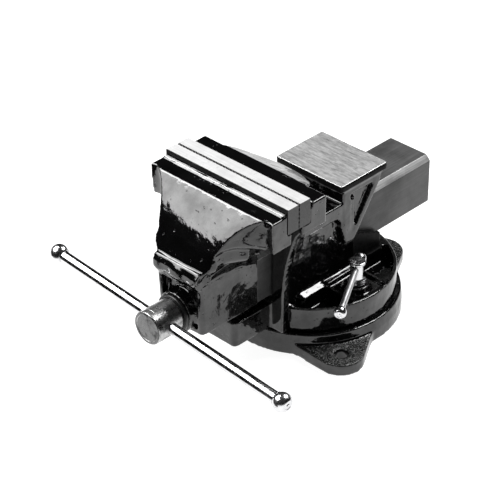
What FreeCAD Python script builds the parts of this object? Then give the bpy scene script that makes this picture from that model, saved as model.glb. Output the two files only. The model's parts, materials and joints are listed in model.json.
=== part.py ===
import FreeCAD, Part
import math
import os

# A 150 mm swivel-base bench vise, in millimetres.
# Origin: the swivel axis on the underside of the base.  +Z up, +X along the jaws to the right,
# +Y from the jaws towards the back end of the slide bar.

V = FreeCAD.Vector
X_AXIS = V(1, 0, 0)
Y_AXIS = V(0, 1, 0)
Z_AXIS = V(0, 0, 1)

# ---- driving dimensions -------------------------------------------------------------------
RUN_FIT = 0.05               # radial clearance of a shaft that turns or slides in its own hole
SLIDE_GAP = 0.35             # gap all round the slide bar in the body
SEAT_GAP = 0.3               # gap between loose faces on different bodies

JAW_HALF_WIDTH = 75.0
JAW_TOP = 186.0
CASTING_TOP = 180.0
SEAM_Y = -96.5               # where the two jaw faces meet
SEAM_HALF_GAP = 0.2
PLATE_THICKNESS = 14.0
PLATE_HEIGHT = 25.0
PLATE_SCREW_X = 46.0
PLATE_SCREW_R = 4.0

SLIDE_HALF_WIDTH = 27.5
SLIDE_BOTTOM = 61.5
SLIDE_TOP = 112.5
SLIDE_END_Y = 140.0
SLIDE_CHAMFER = 5.0
CHANNEL_HALF_WIDTH = 14.6    # open-bottomed channel under the slide bar, for the screw and nut
CHANNEL_TOP = 93.0

SPINDLE_Z = 77.0
SPINDLE_THREAD_R = 11.0
SPINDLE_JOURNAL_R = 12.5
SPINDLE_HEAD_R = 16.0
SPINDLE_FACE_Y = -210.4
SPINDLE_HEAD_LENGTH = 30.5
SPINDLE_END_Y = 116.0
HANDLE_Y = -194.0
HANDLE_R = 5.6
HANDLE_TILT = 4.4            # degrees, right-hand end lower
HANDLE_LEFT = -133.7         # knob centres along the bar from the screw axis
HANDLE_RIGHT = 147.8
HANDLE_KNOB_R = 9.0

BASE_R = 88.5
BASE_TOP = 24.0
BASE_FLOOR = 5.0
TURNTABLE_R = 82.5
TURNTABLE_TOP = 48.0
SPIGOT_R = 25.0
LUG_ANGLES = (-31.0, 89.0, 209.0)
LUG_PITCH_R = 104.0
LUG_HOLE_R = 6.0
LUG_NOSE_X = 100.6           # centre of the rounded end, measured out from the swivel axis
LUG_NOSE_R = 22.8
LUG_TOP = 12.0

LOCK_R = 58.8                # distance of the two swivel lock screws from the swivel axis
LOCK_SHANK_R = 6.0
LOCK_NECK_R = 6.3
LOCK_CAP_R = 8.2
LOCK_CAP_TOP = 74.0
TBAR_Z = 66.2
TBAR_R = 3.0
TBAR_ANGLE = -60.0           # direction of the long end of the right-hand bar, from +X
TBAR_LONG = 74.3             # knob centres from the lock screw's axis
TBAR_SHORT = 15.0
TBAR_KNOB_R = 6.0

ANVIL_HALF_WIDTH = 41.5
ANVIL_TOP = 146.7
ANVIL_FRONT_Y = -4.0
ANVIL_BACK_Y = 60.0
ANVIL_THICKNESS = 7.5

BODY_FRONT_Y = -82.3
BODY_HALF_WIDTH = 40.0
BODY_TOP = 127.0

# ---- derived places -----------------------------------------------------------------------
PLATE_BOTTOM = JAW_TOP - PLATE_HEIGHT
FRONT_PLATE_Y = SEAM_Y - SEAM_HALF_GAP - PLATE_THICKNESS    # back of the moving plate
REAR_PLATE_Y = SEAM_Y + SEAM_HALF_GAP                       # gripping face of the fixed plate


# ---- small builders -----------------------------------------------------------------------
def box(x_range, y_range, z_range):
    size = V(x_range[1] - x_range[0], y_range[1] - y_range[0], z_range[1] - z_range[0])
    return Part.makeBox(size.x, size.y, size.z, V(x_range[0], y_range[0], z_range[0]))


def rod(radius, start, end):
    return Part.makeCylinder(radius, (end - start).Length, start, end - start)


def upright(radius, x, y, z_low, z_high):
    return rod(radius, V(x, y, z_low), V(x, y, z_high))


def face(start, *steps):
    """A flat face from an outline: each step is a point, or a (via, end) pair for an arc."""
    edges = []
    here = start
    for step in steps + (start,):
        via, end = step if isinstance(step, tuple) else (None, step)
        if (end - here).Length > 1e-6:
            curve = Part.Arc(here, via, end) if via else Part.LineSegment(here, end)
            edges.append(curve.toShape())
        here = end
    return Part.Face(Part.Wire(edges))


def along_x(half_width, *steps):
    """A profile of (y, z) steps, swept across x from -half_width to half_width."""
    return face(*on_plane(steps, lambda p: V(-half_width, p[0], p[1]))).extrude(V(2 * half_width, 0, 0))


def along_y(y_range, *steps):
    """A profile of (x, z) steps, swept along y."""
    sweep = V(0, y_range[1] - y_range[0], 0)
    return face(*on_plane(steps, lambda p: V(p[0], y_range[0], p[1]))).extrude(sweep)


def along_z(z_range, *steps):
    """A profile of (x, y) steps, swept up z."""
    sweep = V(0, 0, z_range[1] - z_range[0])
    return face(*on_plane(steps, lambda p: V(p[0], p[1], z_range[0]))).extrude(sweep)


def on_plane(steps, place):
    """Each step becomes a point; a step holding two pairs becomes a (via, end) arc."""
    return [tuple(place(p) for p in s) if isinstance(s[0], tuple) else place(s) for s in steps]


def mirrored(shape):
    return shape.mirror(V(0, 0, 0), X_AXIS)


def both_sides(shape):
    return shape.fuse(mirrored(shape))


def turned(profile, centre, direction):
    """A solid of revolution: profile is (distance along the axis, radius) points from the axis."""
    points = [V(0, r, d) for d, r in profile]
    flat = Part.Face(Part.makePolygon(points + [points[0]]))
    solid = flat.revolve(V(0, 0, 0), Z_AXIS, 360)
    solid.Placement = FreeCAD.Placement(centre, FreeCAD.Rotation(Z_AXIS, direction))
    return solid


def rounded(shape, radius, wanted):
    edges = [e for e in shape.Edges if wanted(e)]
    return shape.makeFillet(radius, edges)


def runs_along(edge, axis):
    ends = edge.Vertexes
    if len(ends) != 2:
        return False
    run = ends[1].Point - ends[0].Point
    return run.Length > 1e-6 and abs(run.dot(axis)) > 0.999 * run.Length


# ---- base ---------------------------------------------------------------------------------
RING_LAND_R = 80.0           # the raised land that carries the turntable
RING_TOP_R = 87.0
RING_SHOULDER_Z = 22.5
SLOT_NECK = 7.3              # half width of the circular T-slot at its mouth
SLOT_HALF = 13.0
SLOT_NECK_Z = 14.0
LUG_FLANK_ANGLE = math.radians(61)     # where the rounded end runs out into the straight flanks


def base_lug(angle):
    """A flat mounting ear with a rounded end, spreading into the ring."""
    nose = (LUG_NOSE_X + LUG_NOSE_R, 0)
    shoulder = (LUG_NOSE_X + LUG_NOSE_R * math.cos(LUG_FLANK_ANGLE), LUG_NOSE_R * math.sin(LUG_FLANK_ANGLE))
    flank_end = (92.0, 30.8)
    fillet_middle = (84.2, 35.2)
    root = (77.5, 40.5)
    near = [(x, -y) for x, y in (root, fillet_middle, flank_end, shoulder)]
    lug = along_z((0, LUG_TOP), near[0], (near[1], near[2]), near[3], (nose, shoulder),
                  flank_end, (fillet_middle, root))
    lug = lug.cut(upright(LUG_HOLE_R, LUG_PITCH_R, 0, 0, LUG_TOP))
    lug.rotate(V(0, 0, 0), Z_AXIS, angle)
    return lug


def circular_groove(half_width, z_low, z_high):
    outer = upright(LOCK_R + half_width, 0, 0, z_low, z_high)
    return outer.cut(upright(LOCK_R - half_width, 0, 0, z_low, z_high))


def swivel_base():
    ring = turned([(0, 0), (0, BASE_R), (LUG_TOP, BASE_R), (RING_SHOULDER_Z, RING_TOP_R),
                   (RING_SHOULDER_Z, RING_LAND_R), (BASE_TOP, RING_LAND_R), (BASE_TOP, 0)],
                  V(0, 0, 0), Z_AXIS)
    inside = upright(BASE_R - 2.0, 0, 0, 0, BASE_TOP)
    for angle in LUG_ANGLES:
        ring = ring.fuse(base_lug(angle).cut(inside))
    ring = ring.cut(circular_groove(SLOT_NECK, BASE_FLOOR, BASE_TOP))
    ring = ring.cut(circular_groove(SLOT_HALF, BASE_FLOOR, SLOT_NECK_Z))
    drop_in = box((-SLOT_HALF, SLOT_HALF), (LOCK_R - SLOT_HALF, LOCK_R + SLOT_HALF), (BASE_FLOOR, BASE_TOP))
    ring = ring.cut(drop_in)
    return ring.cut(upright(SPIGOT_R + RUN_FIT, 0, 0, BASE_FLOOR, BASE_TOP))


# ---- fixed body ---------------------------------------------------------------------------
EAR_WALL = 4.0
EAR_FLOOR = 34.0
EAR_SHELF = 44.0             # floor of the shallow recess round each lock screw
EAR_RIB_Y = 21.0
EAR_RIB_HALF = 2.0
FRONT_FOOT = 8.0             # width of the sloping foot between the side wall and the front pocket
LOCK_BOSS_R = 12.5
LOCK_BOSS_TOP = 50.0
FLANGE_THICKNESS = 9.0
REAR_LEDGE = 9.5             # shelf under the fixed jaw plate
JAW_BOTTOM = 151.5
JAW_WING_BACK_Y = -61.5
JAW_HUMP_BACK_Y = -30.5       # furthest point of the bulge behind the fixed jaw
JAW_SLOPE = math.tan(math.radians(28))
JAW_NECK_BACK_Y = -48.5
SCOOP_X = 33.0
CHIN_FRONT_Y = -129.5
CHIN_BOTTOM = 25.6
CHIN_TOP = 52.0
CRADLE_END_Y = 63.5
WEB_APEX_Y = 13.0            # lowest point of the V-shaped web under the anvil
WEB_APEX_Z = 80.0
TRUNK_BACK_Y = WEB_APEX_Y + 4.0
NUT_HALF_WIDTH = 13.5
NUT_FRONT_Y = -74.0
NUT_BACK_Y = -38.0
NUT_BOTTOM = 50.0
NUT_BOLT_Y = -56.0
NUT_BOLT_R = 5.0
NUT_BOLT_SEAT_Z = BASE_TOP + 9.5       # underside of the washer that the bolt head bears on


def ear_pocket(x_inner, y_range, floor):
    """A recess in the turntable's top, from x_inner out to the rim wall, with rounded corners."""
    block = box((x_inner, TURNTABLE_R), y_range, (floor, TURNTABLE_TOP + 1.0))
    block = block.common(upright(TURNTABLE_R - EAR_WALL, 0, 0, floor, TURNTABLE_TOP + 1.0))
    return rounded(block, 3.0, lambda e: runs_along(e, Z_AXIS))


def wall_foot(y_range, reach):
    """The sloping foot where the body's side wall meets the turntable."""
    wall = SCOOP_X - 1.0
    return along_y(y_range, (wall, EAR_FLOOR), (SCOOP_X + reach, EAR_FLOOR),
                   (SCOOP_X + reach, TURNTABLE_TOP - 0.5), (wall, TURNTABLE_TOP + 0.5 * reach))


def turntable():
    disc = upright(TURNTABLE_R, 0, 0, BASE_TOP, TURNTABLE_TOP)
    rib_near = EAR_RIB_Y - EAR_RIB_HALF
    rib_far = EAR_RIB_Y + EAR_RIB_HALF
    front_y = BODY_FRONT_Y + FLANGE_THICKNESS
    front = ear_pocket(SCOOP_X + FRONT_FOOT, (front_y, -rib_far), EAR_FLOOR)
    middle = ear_pocket(SCOOP_X + 1.0, (-rib_near, rib_near), EAR_SHELF)
    rear = ear_pocket(SCOOP_X + 1.0, (rib_far, TURNTABLE_R), EAR_FLOOR)
    for pocket in (front, middle, rear):
        disc = disc.cut(both_sides(pocket))
    for foot in (wall_foot((front_y + 3.0, -EAR_RIB_Y), FRONT_FOOT), wall_foot((-EAR_RIB_Y, rib_near), 4.0),
                 wall_foot((rib_near, CRADLE_END_Y), 3.0)):
        disc = disc.fuse(both_sides(foot))
    disc = disc.fuse(both_sides(upright(LOCK_BOSS_R, LOCK_R, 0, EAR_FLOOR, LOCK_BOSS_TOP)))
    disc = disc.fuse(upright(SPIGOT_R, 0, 0, BASE_FLOOR + SEAT_GAP, BASE_TOP + 1.0))
    return disc.cut(both_sides(upright(LOCK_SHANK_R + SEAT_GAP, LOCK_R, 0, 0, LOCK_BOSS_TOP + 1.0)))


def front_flange():
    """The broad front wall under the fixed jaw, flaring from the turntable up to the wings."""
    waist = 42.0
    top = JAW_HALF_WIDTH - 5.0
    return along_y((BODY_FRONT_Y, BODY_FRONT_Y + FLANGE_THICKNESS),
                   (-waist, BASE_TOP + 0.5), (waist, BASE_TOP + 0.5), (waist + 0.5, 62.0),
                   ((47.0, 100.0), (58.5, 137.0)), (top, JAW_BOTTOM + 1.0),
                   (-top, JAW_BOTTOM + 1.0), (-58.5, 137.0), ((-47.0, 100.0), (-waist - 0.5, 62.0)))


def fixed_jaw():
    """The fixed jaw: straight wings with a bulge between them that slopes down behind the flat top."""
    wing = JAW_HALF_WIDTH
    bulge_half = 50.0
    above_back = JAW_HUMP_BACK_Y + 1.0
    plan = along_z((JAW_BOTTOM, CASTING_TOP), (-wing, BODY_FRONT_Y), (wing, BODY_FRONT_Y),
                   (wing, JAW_WING_BACK_Y), (bulge_half, JAW_WING_BACK_Y), ((46.0, -51.0), (35.0, -43.0)),
                   ((0, JAW_HUMP_BACK_Y), (-35.0, -43.0)), ((-46.0, -51.0), (-bulge_half, JAW_WING_BACK_Y)),
                   (-wing, JAW_WING_BACK_Y))
    drop = (above_back - JAW_WING_BACK_Y) * JAW_SLOPE
    above_slope = along_x(wing + 5.0, (JAW_WING_BACK_Y, CASTING_TOP), (above_back, CASTING_TOP + 5.0),
                          (above_back, CASTING_TOP - drop))
    jaw = plan.cut(above_slope)
    ledge = box((-wing, wing), (BODY_FRONT_Y - REAR_LEDGE, BODY_FRONT_Y + 1.0), (JAW_BOTTOM, PLATE_BOTTOM))
    groove = along_x(wing, (BODY_FRONT_Y, CASTING_TOP), (BODY_FRONT_Y, CASTING_TOP - 6.0),
                     (BODY_FRONT_Y + 4.0, CASTING_TOP))
    return jaw.fuse(ledge).cut(groove)


def jaw_neck():
    """The cove that carries the fixed jaw's wings down onto the body."""
    low = BODY_TOP - 22.0
    high = JAW_BOTTOM + 1.0
    waist = BODY_HALF_WIDTH
    spread = JAW_HALF_WIDTH - 3.0
    cove = along_y((BODY_FRONT_Y, JAW_NECK_BACK_Y), (-waist, low), (waist, low),
                   ((waist + 8.0, low + 26.0), (spread, high)), (-spread, high),
                   ((-waist - 8.0, low + 26.0), (-waist, low)))
    side_y = JAW_WING_BACK_Y - 10.0
    plan = along_z((low, high), (-JAW_HALF_WIDTH, BODY_FRONT_Y), (JAW_HALF_WIDTH, BODY_FRONT_Y),
                   (JAW_HALF_WIDTH, side_y), ((0, JAW_NECK_BACK_Y + 3.0), (-JAW_HALF_WIDTH, side_y)))
    return cove.common(plan)


def side_scoop():
    """The arched hollow in the side of the body, between the front wall and the anvil web."""
    front = BODY_FRONT_Y + FLANGE_THICKNESS
    bottom = BASE_TOP + 0.5
    shape = face(V(SCOOP_X, front, bottom), V(SCOOP_X, front, 97.0),
                 (V(SCOOP_X, front + 9.0, 108.5), V(SCOOP_X, front + 25.0, 113.0)),
                 V(SCOOP_X, WEB_APEX_Y - 22.0, 113.0),
                 (V(SCOOP_X, WEB_APEX_Y - 16.5, 109.0), V(SCOOP_X, WEB_APEX_Y - 14.5, 101.0)),
                 V(SCOOP_X, WEB_APEX_Y - 9.0, WEB_APEX_Z), V(SCOOP_X, TRUNK_BACK_Y, WEB_APEX_Z),
                 V(SCOOP_X, TRUNK_BACK_Y, TURNTABLE_TOP),
                 V(SCOOP_X, front + 3.0, TURNTABLE_TOP), V(SCOOP_X, front + 3.0, bottom))
    return shape.extrude(V(JAW_HALF_WIDTH - SCOOP_X, 0, 0))


def anvil():
    plate = box((-ANVIL_HALF_WIDTH, ANVIL_HALF_WIDTH), (ANVIL_FRONT_Y, ANVIL_BACK_Y),
                (ANVIL_TOP - ANVIL_THICKNESS, ANVIL_TOP))
    plate = rounded(plate, 2.5, lambda e: runs_along(e, Z_AXIS))
    under = ANVIL_TOP - ANVIL_THICKNESS
    shoulder = 131.0
    web_front = ANVIL_FRONT_Y + 4.0
    web = along_x(ANVIL_HALF_WIDTH - 1.0, (web_front, under + 1.0), (ANVIL_BACK_Y - 6.0, under + 1.0),
                  (ANVIL_BACK_Y - 8.0, shoulder), (TRUNK_BACK_Y, WEB_APEX_Z), (WEB_APEX_Y - 9.0, WEB_APEX_Z),
                  (web_front, shoulder))
    recess_depth = 5.0
    floor_x = ANVIL_HALF_WIDTH - recess_depth
    corners = ((WEB_APEX_Y - 2.0, 132.0), (42.0, 132.0), (WEB_APEX_Y + 1.5, 90.0), (WEB_APEX_Y - 2.0, 93.0))
    recess = face(*[V(floor_x, y, z) for y, z in corners])
    return plate.fuse(web).cut(both_sides(recess.extrude(V(recess_depth, 0, 0))))


def fixed_body():
    trunk = box((-BODY_HALF_WIDTH, BODY_HALF_WIDTH), (BODY_FRONT_Y + 1.0, TRUNK_BACK_Y),
                (BASE_TOP, BODY_TOP))
    trunk = trunk.cut(both_sides(side_scoop()))
    cradle = along_x(SCOOP_X, (0, BASE_TOP + 1.0), (CRADLE_END_Y, BASE_TOP + 1.0),
                     (CRADLE_END_Y, 64.0), (TRUNK_BACK_Y, WEB_APEX_Z + 4.0), (0, WEB_APEX_Z + 4.0))
    chin = box((-SLIDE_HALF_WIDTH, SLIDE_HALF_WIDTH), (CHIN_FRONT_Y, BODY_FRONT_Y + 1.0),
               (CHIN_BOTTOM, CHIN_TOP))
    chin = rounded(chin, 5.0, lambda e: runs_along(e, Z_AXIS) and e.CenterOfMass.y < BODY_FRONT_Y - 10)
    body = turntable()
    for piece in (trunk, front_flange(), fixed_jaw(), jaw_neck(), cradle, anvil(), chin):
        body = body.fuse(piece)
    tunnel_half = SLIDE_HALF_WIDTH + SLIDE_GAP
    tunnel = box((-tunnel_half, tunnel_half), (BODY_FRONT_Y - 1.0, SLIDE_END_Y),
                 (SLIDE_BOTTOM - SLIDE_GAP, SLIDE_TOP + SLIDE_GAP))
    body = body.cut(tunnel)
    nut_seat = box((-NUT_HALF_WIDTH, NUT_HALF_WIDTH), (NUT_FRONT_Y, NUT_BACK_Y), (NUT_BOTTOM, SLIDE_BOTTOM))
    body = body.cut(nut_seat)
    body = body.cut(upright(NUT_BOLT_R + SEAT_GAP, 0, NUT_BOLT_Y, BASE_TOP, NUT_BOTTOM))
    body = body.cut(upright(NUT_BOLT_R * 2 + 1.0, 0, NUT_BOLT_Y, BASE_TOP, BASE_TOP + 10.0))
    for x in (-PLATE_SCREW_X, PLATE_SCREW_X):
        body = body.cut(plate_screw_hole(x, BODY_FRONT_Y, 1))
    return body.removeSplitter()


# ---- moving jaw ---------------------------------------------------------------------------
FRONT_TOP_Y = -130.5         # front edge of the flat top of the moving jaw
FRONT_LEDGE = 5.5            # shelf under the moving jaw plate
LIP_WIDTH = 4.2              # machined strip along the back of the moving jaw's top
LIP_RISE = 1.4
WING_BOTTOM = 148.5
NECK_BOTTOM = 113.0
NECK_HALF_WIDTH = 26.5
FLARE_TOP_HALF_WIDTH = 65.0
FLARE_DECAY = 20.0
HOLLOW_RISE = 30.0           # height over which the hollow corners reach their full depth
CROWN_TOP = (-130.5, 180.0)  # (y, z) of the arc that the swept front face follows
CROWN_MIDDLE = (-154.5, 155.0)
CROWN_FOOT = (-171.5, 113.0)
CHEEK_FRONT_Y = -169.5
CHEEK_BACK_Y = -99.0
CHEEK_BOTTOM = 60.0
CHEEK_TOP = 125.5
BEAD_FRONT_Y = -176.0
POCKET_HALF = 21.0           # shallow recess in the front face round the screw boss
POCKET_DEPTH = 5.0
POCKET_TOP = 106.0
SPINDLE_BOSS_R = 20.0
COLLAR_POCKET_Y = (-143.0, -104.0)
COLLAR_POCKET_HALF = 19.0
COLLAR_POCKET_TOP = 97.0


def crown_y(z):
    """Where the swept front face of the moving jaw stands at height z."""
    points = [V(0, y, h) for y, h in (CROWN_TOP, CROWN_MIDDLE, CROWN_FOOT)]
    circle = Part.Arc(*points).toShape().Curve
    centre = circle.Center
    return centre.y - math.sqrt(circle.Radius ** 2 - (z - centre.z) ** 2)


def flare_half_width(z):
    """Half the width of the front face at height z: narrow below, wide at the top edge."""
    spread = FLARE_TOP_HALF_WIDTH - NECK_HALF_WIDTH
    return NECK_HALF_WIDTH + spread * math.exp((z - CASTING_TOP) / FLARE_DECAY)


def wing_half_width(z):
    """Half the width at the back of the moving jaw: a cove from the neck out to the wing."""
    if z >= WING_BOTTOM:
        return JAW_HALF_WIDTH
    rise = (z - NECK_BOTTOM) / (WING_BOTTOM - NECK_BOTTOM)
    return JAW_HALF_WIDTH - (JAW_HALF_WIDTH - NECK_HALF_WIDTH) * math.sqrt(1 - rise ** 2)


def jaw_section(z):
    """One level of the moving jaw: straight back and ends, hollow corners, slightly bowed front."""
    wing = wing_half_width(z)
    flare = min(flare_half_width(z), wing)
    front = crown_y(z)
    wing_front = FRONT_TOP_Y + 0.0025 * (CASTING_TOP - max(z, WING_BOTTOM)) ** 2
    chord = V(wing - flare, wing_front - front, 0)
    hollow = 0.2 * chord.Length * min(1.0, (z - NECK_BOTTOM) / HOLLOW_RISE)
    inward = V(-chord.y, chord.x, 0).normalize() * hollow
    middle = V((wing + flare) / 2, (wing_front + front) / 2, z) + inward
    right = [V(wing, FRONT_PLATE_Y, z), V(wing, wing_front, z), V(flare, front, z)]
    left = [V(-p.x, p.y, z) for p in right]
    bow = V(0, front - 1.5 * min(1.0, (CASTING_TOP - z) / 20.0) - 0.01, z)
    edges = [Part.LineSegment(left[0], right[0]), Part.LineSegment(right[0], right[1]),
             Part.Arc(right[1], middle, right[2]), Part.Arc(right[2], bow, left[2]),
             Part.Arc(left[2], V(-middle.x, middle.y, z), left[1]), Part.LineSegment(left[1], left[0])]
    return Part.Wire([e.toShape() for e in edges])


def jaw_head():
    under = [NECK_BOTTOM + (WING_BOTTOM - NECK_BOTTOM) * t for t in (0.02, 0.25, 0.5, 0.75, 0.92, 1.0)]
    over = [WING_BOTTOM + (CASTING_TOP - WING_BOTTOM) * t for t in (0.0, 0.3, 0.6, 0.85, 1.0)]
    lower = Part.makeLoft([jaw_section(z) for z in under], True, False)
    upper = Part.makeLoft([jaw_section(z) for z in over], True, False)
    return upper.fuse(lower)


def cheek():
    """The deep lower block, whose arched shoulder rises from the bead up under the wings."""
    block = along_x(SLIDE_HALF_WIDTH, (CHEEK_FRONT_Y, CHEEK_BOTTOM), (CHEEK_BACK_Y, CHEEK_BOTTOM),
                    (CHEEK_BACK_Y, CHEEK_TOP), (-133.0, CHEEK_TOP),
                    ((-156.0, 122.0), (-172.5, 113.5)), (-172.0, 108.0))

    def front_corner(edge):
        at_front = edge.CenterOfMass.y < CHEEK_FRONT_Y + 1.0 and abs(edge.CenterOfMass.x) > 20.0
        rises = edge.BoundBox.ZMin < CHEEK_BOTTOM + 1.0 and edge.BoundBox.ZMax < 109.0
        return at_front and rises and edge.Length > 20.0

    return rounded(block, 4.0, front_corner)


def front_bead():
    """The rounded band across the front, between the swept face and the screw boss."""
    return along_x(SLIDE_HALF_WIDTH, (-168.0, 127.5), (-172.5, 127.5), (BEAD_FRONT_Y, 122.5),
                   (BEAD_FRONT_Y, 114.5), (-172.5, 109.5), (-168.0, 109.5))


def slide_bar():
    bar = box((-SLIDE_HALF_WIDTH, SLIDE_HALF_WIDTH), (CHEEK_BACK_Y - 5.0, SLIDE_END_Y),
              (SLIDE_BOTTOM, SLIDE_TOP))
    top_edges = [e for e in bar.Edges if runs_along(e, Y_AXIS) and e.CenterOfMass.z > SLIDE_TOP - 1]
    return bar.makeChamfer(SLIDE_CHAMFER, top_edges)


def movable_jaw():
    neck_back = box((-NECK_HALF_WIDTH, NECK_HALF_WIDTH), (FRONT_PLATE_Y - 5.0, CHEEK_BACK_Y),
                    (CHEEK_BOTTOM + 20.0, PLATE_BOTTOM - 1.0))
    ledge = box((-JAW_HALF_WIDTH, JAW_HALF_WIDTH), (FRONT_PLATE_Y - 1.0, FRONT_PLATE_Y + FRONT_LEDGE),
                (WING_BOTTOM, PLATE_BOTTOM - 0.5))
    lip = box((-JAW_HALF_WIDTH + 1.5, JAW_HALF_WIDTH - 1.5), (FRONT_PLATE_Y - LIP_WIDTH, FRONT_PLATE_Y),
              (CASTING_TOP - 1.0, CASTING_TOP + LIP_RISE))
    jaw = jaw_head()
    for piece in (cheek(), front_bead(), neck_back, ledge, lip, slide_bar()):
        jaw = jaw.fuse(piece)
    pocket = box((-POCKET_HALF, POCKET_HALF), (CHEEK_FRONT_Y - 5.0, CHEEK_FRONT_Y + POCKET_DEPTH),
                 (CHEEK_BOTTOM + 5.0, POCKET_TOP))
    boss = rod(SPINDLE_BOSS_R, V(0, washer_back_y(), SPINDLE_Z), V(0, CHEEK_FRONT_Y + 10.0, SPINDLE_Z))
    above_bottom = box((-30, 30), (-200, -100), (CHEEK_BOTTOM - 0.5, 200))
    jaw = jaw.cut(pocket).fuse(boss.common(above_bottom))
    channel = box((-CHANNEL_HALF_WIDTH, CHANNEL_HALF_WIDTH), (COLLAR_POCKET_Y[1] - 1.0, SLIDE_END_Y + 1.0),
                  (CHEEK_BOTTOM - 1.0, CHANNEL_TOP))
    collar_pocket = box((-COLLAR_POCKET_HALF, COLLAR_POCKET_HALF), COLLAR_POCKET_Y,
                        (CHEEK_BOTTOM - 1.0, COLLAR_POCKET_TOP))
    bore = rod(SPINDLE_JOURNAL_R + RUN_FIT, V(0, -200, SPINDLE_Z), V(0, -110, SPINDLE_Z))
    jaw = jaw.cut(channel).cut(collar_pocket).cut(bore)
    for x in (-PLATE_SCREW_X, PLATE_SCREW_X):
        jaw = jaw.cut(plate_screw_hole(x, FRONT_PLATE_Y, -1))
    return jaw.removeSplitter()


# ---- jaw plates and their screws ------------------------------------------------------------
SCREW_DEPTH = 16.0
SCREW_HEAD_R = 8.0
SCREW_HEAD_DEPTH = 5.0
SCREW_SUNK = 1.5             # how far the head sits below the gripping face
SOCKET_ACROSS = 6.0
SCREW_Z = (PLATE_BOTTOM + JAW_TOP) / 2 - 3.0


def plate_screw_hole(x, plate_back, into):
    return rod(PLATE_SCREW_R + RUN_FIT, V(x, plate_back - into, SCREW_Z),
               V(x, plate_back + into * (SCREW_DEPTH + 1.0), SCREW_Z))


def plate_screw(x, grip_y, into):
    """A countersunk socket screw: head flush below the gripping face, shank into the casting."""
    head_face = grip_y + into * SCREW_SUNK
    length = PLATE_THICKNESS - SCREW_SUNK + SCREW_DEPTH
    neck = length - SCREW_HEAD_DEPTH
    profile = [(0, 0), (0, PLATE_SCREW_R), (neck, PLATE_SCREW_R), (length, SCREW_HEAD_R - 0.3), (length, 0)]
    screw = turned(profile, V(x, head_face + into * length, SCREW_Z), V(0, -into, 0))
    socket = hexagon(SOCKET_ACROSS, V(x, head_face, SCREW_Z), V(0, into, 0), 3.5)
    return screw.cut(socket)


def jaw_plate(grip_y, into):
    """A hardened plate; 'into' is +1 when the casting lies towards +Y, -1 the other way."""
    y_range = sorted((grip_y, grip_y + into * PLATE_THICKNESS))
    plate = box((-JAW_HALF_WIDTH, JAW_HALF_WIDTH), y_range, (PLATE_BOTTOM, JAW_TOP))
    hole = PLATE_SCREW_R + RUN_FIT
    head_depth = SCREW_HEAD_DEPTH + SCREW_SUNK
    profile = [(0, 0), (0, hole), (SCREW_HEAD_DEPTH, SCREW_HEAD_R), (head_depth + 1, SCREW_HEAD_R),
               (head_depth + 1, 0)]
    for x in (-PLATE_SCREW_X, PLATE_SCREW_X):
        plate = plate.cut(rod(hole, V(x, y_range[0] - 1, SCREW_Z), V(x, y_range[1] + 1, SCREW_Z)))
        sink = turned(profile, V(x, grip_y + into * head_depth, SCREW_Z), V(0, -into, 0))
        plate = plate.cut(sink)
    return plate


def plate_screws(grip_y, into):
    return Part.makeCompound([plate_screw(x, grip_y, into) for x in (-PLATE_SCREW_X, PLATE_SCREW_X)])


def hexagon(across_flats, start, direction, depth):
    corner = across_flats / math.sqrt(3)
    points = [V(corner * math.cos(math.radians(60 * k)), corner * math.sin(math.radians(60 * k)), 0)
              for k in range(7)]
    solid = Part.Face(Part.makePolygon(points)).extrude(V(0, 0, depth))
    solid.Placement = FreeCAD.Placement(start, FreeCAD.Rotation(Z_AXIS, direction))
    return solid


# ---- screw, nut and handle --------------------------------------------------------------------
WASHER_R = 18.5
WASHER_THICKNESS = 3.0
COLLAR_R = 17.5
COLLAR_LENGTH = 12.0
PIN_R = 2.0


def washer_front_y():
    return SPINDLE_FACE_Y + SPINDLE_HEAD_LENGTH


def washer_back_y():
    return washer_front_y() + WASHER_THICKNESS


def handle_direction():
    tilt = math.radians(HANDLE_TILT)
    return V(math.cos(tilt), 0, -math.sin(tilt))


def handle_point(distance):
    return V(0, HANDLE_Y, SPINDLE_Z) + handle_direction() * distance


def spindle():
    head = [(0, 0), (0, SPINDLE_HEAD_R - 1.2), (1.2, SPINDLE_HEAD_R),
            (SPINDLE_HEAD_LENGTH - 2.0, SPINDLE_HEAD_R), (SPINDLE_HEAD_LENGTH, SPINDLE_HEAD_R - 1.0)]
    collar_y = COLLAR_POCKET_Y[0] - SPINDLE_FACE_Y
    end = SPINDLE_END_Y - SPINDLE_FACE_Y
    shank = [(SPINDLE_HEAD_LENGTH, SPINDLE_JOURNAL_R), (collar_y, SPINDLE_JOURNAL_R),
             (collar_y, SPINDLE_THREAD_R), (end - 3.0, SPINDLE_THREAD_R), (end, SPINDLE_THREAD_R - 2.5),
             (end, 0)]
    screw = turned(head + shank, V(0, SPINDLE_FACE_Y, SPINDLE_Z), Y_AXIS)
    screw = screw.cut(rod(HANDLE_R + 2 * RUN_FIT, handle_point(-30), handle_point(30)))
    pin_y = COLLAR_POCKET_Y[0] + SEAT_GAP + COLLAR_LENGTH / 2
    return screw.cut(upright(PIN_R, 0, pin_y, SPINDLE_Z - 30, SPINDLE_Z + 30))


def ring_on_spindle(outer_r, bore_r, y_start, length):
    start = V(0, y_start, SPINDLE_Z)
    end = V(0, y_start + length, SPINDLE_Z)
    return rod(outer_r, start, end).cut(rod(bore_r, start, end))


def retaining_collar():
    start = COLLAR_POCKET_Y[0] + SEAT_GAP
    collar = ring_on_spindle(COLLAR_R, SPINDLE_THREAD_R, start, COLLAR_LENGTH)
    return collar.cut(upright(PIN_R, 0, start + COLLAR_LENGTH / 2, SPINDLE_Z - 30, SPINDLE_Z + 30))


def collar_pin():
    pin_y = COLLAR_POCKET_Y[0] + SEAT_GAP + COLLAR_LENGTH / 2
    return upright(PIN_R, 0, pin_y, SPINDLE_Z - COLLAR_R, SPINDLE_Z + COLLAR_R)


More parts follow.
